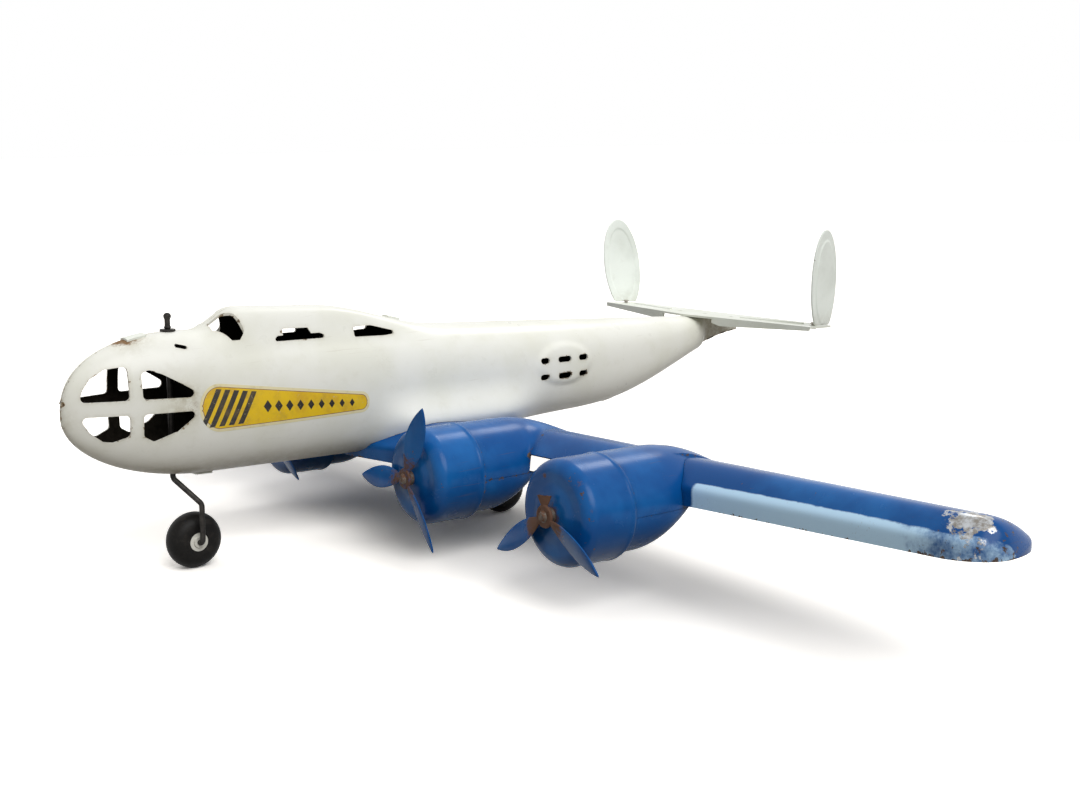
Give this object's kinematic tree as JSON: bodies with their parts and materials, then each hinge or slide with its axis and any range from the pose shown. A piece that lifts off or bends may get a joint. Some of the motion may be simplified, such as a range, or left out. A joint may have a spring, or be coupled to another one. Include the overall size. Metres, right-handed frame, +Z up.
{
  "type": "toy transport plane",
  "caption": "Pressed-steel toy transport plane with upright fins on the tailplane ends, spinning propellers on a low wing, and a bent-wire nose strut that swivels over rolling wheels.",
  "frame": {"origin": "on the ground under the middle of the overall box, the toy standing on its three wheels", "axes": "+Z up, -X towards the nose, -Y towards the port wing tip"},
  "size_m": [0.4284, 0.686, 0.1461],
  "materials": {
    "white_paint": "worn gloss enamel",
    "cream_paint": "worn gloss enamel",
    "blue_paint": "worn gloss enamel",
    "bare_steel": "dull, lightly rusted",
    "dark_wire": "blackened spring wire",
    "black_rubber": "old smooth rubber",
    "white_hub": "semi-gloss"
  },
  "bodies": {
    "airframe": {"fuselage_port_half": "white_paint", "fuselage_starboard_half": "white_paint", "wing_centre_pressing": "blue_paint", "belly_plate": "blue_paint", "axle_plate": "blue_paint", "outer_wing_port": "blue_paint", "outer_wing_starboard": "blue_paint", "cowling_port_outboard": "blue_paint", "cowling_port_inboard": "blue_paint", "cowling_starboard_inboard": "blue_paint", "cowling_starboard_outboard": "blue_paint", "engine_pan_port_outboard": "blue_paint", "engine_pan_port_inboard": "blue_paint", "engine_pan_starboard_inboard": "blue_paint", "engine_pan_starboard_outboard": "blue_paint", "propeller_pins": "bare_steel", "propeller_spacers": "bare_steel", "tailplane": "cream_paint", "fin_port": "cream_paint", "fin_starboard": "cream_paint", "tail_rivets": "bare_steel", "strut_washer": "dark_wire", "axle_bracket": "bare_steel", "main_axle": "bare_steel", "axle_caps": "bare_steel", "bracket_rivets": "bare_steel", "seam_tabs": "cream_paint"},
    "nose_strut": {"nose_strut": "dark_wire", "strut_stop": "dark_wire", "nose_wheel_cap": "bare_steel"},
    "nose_wheel": {"nose_wheel_hub": "white_hub", "nose_tyre": "black_rubber"},
    "main_wheel_port": {"main_wheel_hub_port": "white_hub", "main_tyre_port": "black_rubber"},
    "main_wheel_starboard": {"main_wheel_hub_starboard": "white_hub", "main_tyre_starboard": "black_rubber"},
    "propeller_port_outboard": {"propeller_port_outboard": "blue_paint"},
    "propeller_port_inboard": {"propeller_port_inboard": "blue_paint"},
    "propeller_starboard_inboard": {"propeller_starboard_inboard": "blue_paint"},
    "propeller_starboard_outboard": {"propeller_starboard_outboard": "blue_paint"}
  },
  "joints": [
    {"name": "nose_strut_swivel", "type": "hinge", "parent": "airframe", "child": "nose_strut", "pos_m": [-0.16255, 0, 0.08205], "axis": [0.0298, 0, 0.9996], "continuous": true},
    {"name": "nose_wheel_spin", "type": "hinge", "parent": "nose_strut", "child": "nose_wheel", "pos_m": [-0.15529, 0, 0.0135], "axis": [0, 1, 0], "continuous": true},
    {"name": "main_wheel_port_spin", "type": "hinge", "parent": "airframe", "child": "main_wheel_port", "pos_m": [0.01589, -0.0165, 0.0135], "axis": [0, 1, 0], "continuous": true},
    {"name": "main_wheel_starboard_spin", "type": "hinge", "parent": "airframe", "child": "main_wheel_starboard", "pos_m": [0.01589, 0.0165, 0.0135], "axis": [0, 1, 0], "continuous": true},
    {"name": "propeller_port_outboard_spin", "type": "hinge", "parent": "airframe", "child": "propeller_port_outboard", "pos_m": [-0.07837, -0.173, 0.04636], "axis": [0.9996, 0, -0.0298], "continuous": true},
    {"name": "propeller_port_inboard_spin", "type": "hinge", "parent": "airframe", "child": "propeller_port_inboard", "pos_m": [-0.07847, -0.068, 0.0431], "axis": [0.9996, 0, -0.0298], "continuous": true},
    {"name": "propeller_starboard_inboard_spin", "type": "hinge", "parent": "airframe", "child": "propeller_starboard_inboard", "pos_m": [-0.07847, 0.068, 0.0431], "axis": [0.9996, 0, -0.0298], "continuous": true},
    {"name": "propeller_starboard_outboard_spin", "type": "hinge", "parent": "airframe", "child": "propeller_starboard_outboard", "pos_m": [-0.07837, 0.173, 0.04636], "axis": [0.9996, 0, -0.0298], "continuous": true}
  ]
}
